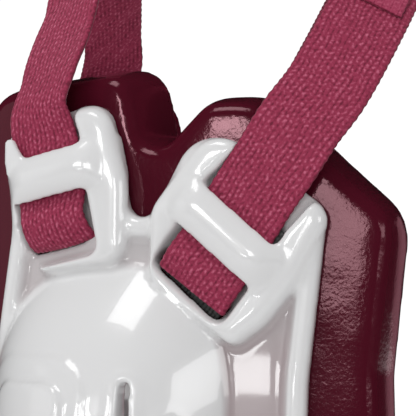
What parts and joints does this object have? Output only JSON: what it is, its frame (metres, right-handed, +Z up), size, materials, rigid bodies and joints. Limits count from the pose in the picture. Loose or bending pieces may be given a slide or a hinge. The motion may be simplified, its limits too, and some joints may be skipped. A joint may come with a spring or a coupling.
{
  "type": "wrestling headgear",
  "caption": "Wrestling headgear: hard vented ear guards on dipped foam pads, joined over the crown, nape and chin by woven webbing straps threaded under moulded bars.",
  "frame": {"origin": "where the crown of the head meets the underside of the front strap, in the middle", "axes": "+Z up, the wearer's face towards -Y, the wearer's left ear towards +X"},
  "size_m": [0.2292, 0.2033, 0.2319],
  "materials": {
    "shell": "glossy white moulded plastic",
    "pad": "glossy dark maroon vinyl dip over foam",
    "webbing": "woven raspberry webbing",
    "patch": "fine woven facing sewn on the webbing",
    "tape": "dark grey hook tape"
  },
  "bodies": {
    "root": {"left_shell": "shell", "right_shell": "shell", "left_pad": "pad", "right_pad": "pad", "front_strap": "webbing", "crown_strap": "webbing", "nape_strap": "webbing", "chin_strap": "webbing", "crown_patch": "patch", "left_front_tape": "tape", "right_front_tape": "tape", "left_crown_tape": "tape", "right_crown_tape": "tape"}
  },
  "joints": []
}
